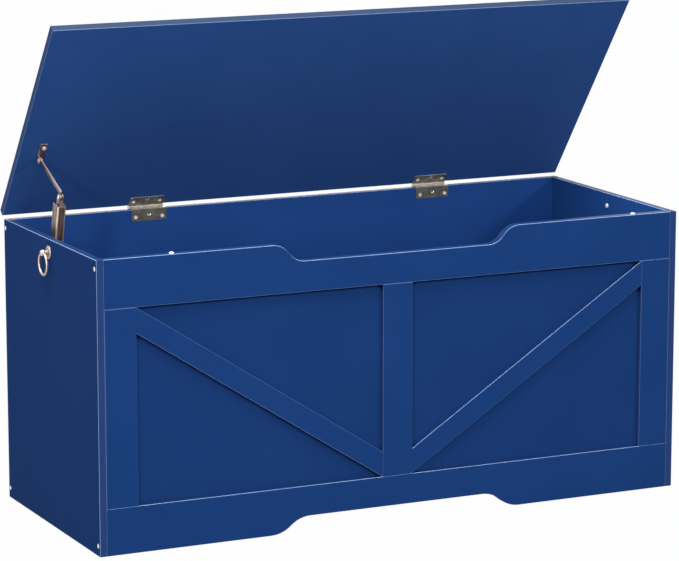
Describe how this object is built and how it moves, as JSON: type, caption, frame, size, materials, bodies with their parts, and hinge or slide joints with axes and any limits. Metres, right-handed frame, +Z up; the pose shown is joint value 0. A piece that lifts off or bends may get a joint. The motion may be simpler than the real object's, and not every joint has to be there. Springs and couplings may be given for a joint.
{
  "type": "storage chest",
  "caption": "Blue board storage chest with a V-braced framed front, scooped rails, a crank-hinged lid held open by a folding stay, and ring pulls on the sides.",
  "frame": {"origin": "on the floor, at the middle of the footprint with the lid standing open", "axes": "+X along the front to the right, +Y from the front to the back, +Z up"},
  "size_m": [1.029, 0.4116, 0.7861],
  "materials": {
    "blue_board": "satin laminate",
    "hinge_nickel": "satin nickel plate",
    "antique_bronze": "antique bronze plate",
    "zinc_screw": "bright zinc plate",
    "white_bumper": "satin",
    "beech_dowel": "bare wood",
    "black_plastic": "matte"
  },
  "bodies": {
    "carcass": {"side_panel_left": "blue_board", "side_panel_right": "blue_board", "back_panel": "blue_board", "bottom_panel": "blue_board", "top_rail": "blue_board", "bottom_rail": "blue_board", "field_panel": "blue_board", "stile_left": "blue_board", "stile_middle": "blue_board", "stile_right": "blue_board", "brace_left": "blue_board", "brace_right": "blue_board", "hinge_left_carcass_leaf": "hinge_nickel", "hinge_left_pin": "hinge_nickel", "hinge_right_carcass_leaf": "hinge_nickel", "hinge_right_pin": "hinge_nickel", "pull_rosette_left": "antique_bronze", "pull_post_left": "antique_bronze", "pull_screw_left": "zinc_screw", "pull_rosette_right": "antique_bronze", "pull_post_right": "antique_bronze", "pull_screw_right": "zinc_screw", "stay_base": "antique_bronze", "stay_pivot_pin": "zinc_screw", "carcass_screws": "zinc_screw", "wood_dowels": "beech_dowel", "cam_bolts": "zinc_screw", "cam_locks": "zinc_screw", "hinge_screws_carcass": "zinc_screw", "stay_base_screws": "zinc_screw", "lid_bumpers": "white_bumper"},
    "lid": {"lid_panel": "blue_board", "hinge_left_lid_leaf": "hinge_nickel", "hinge_right_lid_leaf": "hinge_nickel", "hinge_screws_lid": "zinc_screw", "stay_lid_bracket": "antique_bronze", "stay_lid_pin": "zinc_screw", "stay_lid_screw": "zinc_screw"},
    "stay_arm": {"stay_arm": "antique_bronze"},
    "stay_channel": {"stay_channel": "antique_bronze", "stay_elbow_pin": "zinc_screw", "stay_spacer_left": "antique_bronze", "stay_spacer_right": "antique_bronze", "stay_spring_guide": "black_plastic", "stay_spring": "zinc_screw"},
    "ring_left": {"pull_ring_left": "antique_bronze"},
    "ring_right": {"pull_ring_right": "antique_bronze"}
  },
  "joints": [
    {"name": "lid_hinge", "type": "hinge", "parent": "carcass", "child": "lid", "pos_m": [0, 0.19719, 0.4565], "axis": [1, 0, 0], "range_deg": [0, 53]},
    {"name": "stay_arm_pivot", "type": "hinge", "parent": "lid", "child": "stay_arm", "pos_m": [-0.467, 0.11216, 0.55771], "axis": [1, 0, 0], "range_deg": [-68.5, 0.1]},
    {"name": "stay_elbow", "type": "hinge", "parent": "stay_arm", "child": "stay_channel", "pos_m": [-0.467, 0.02721, 0.51198], "axis": [1, 0, 0], "range_deg": [-0.1, 87.5]},
    {"name": "left_ring_swing", "type": "hinge", "parent": "carcass", "child": "ring_left", "pos_m": [-0.5095, -0.00581, 0.434], "axis": [0, 1, 0], "range_deg": [-11, 180]},
    {"name": "right_ring_swing", "type": "hinge", "parent": "carcass", "child": "ring_right", "pos_m": [0.5095, -0.00581, 0.434], "axis": [0, -1, 0], "range_deg": [-11, 180]}
  ],
  "couplings": [
    {"joint": "stay_arm_pivot", "follows": "lid_hinge", "ratio": -1.285},
    {"joint": "stay_elbow", "follows": "lid_hinge", "ratio": 1.642}
  ]
}
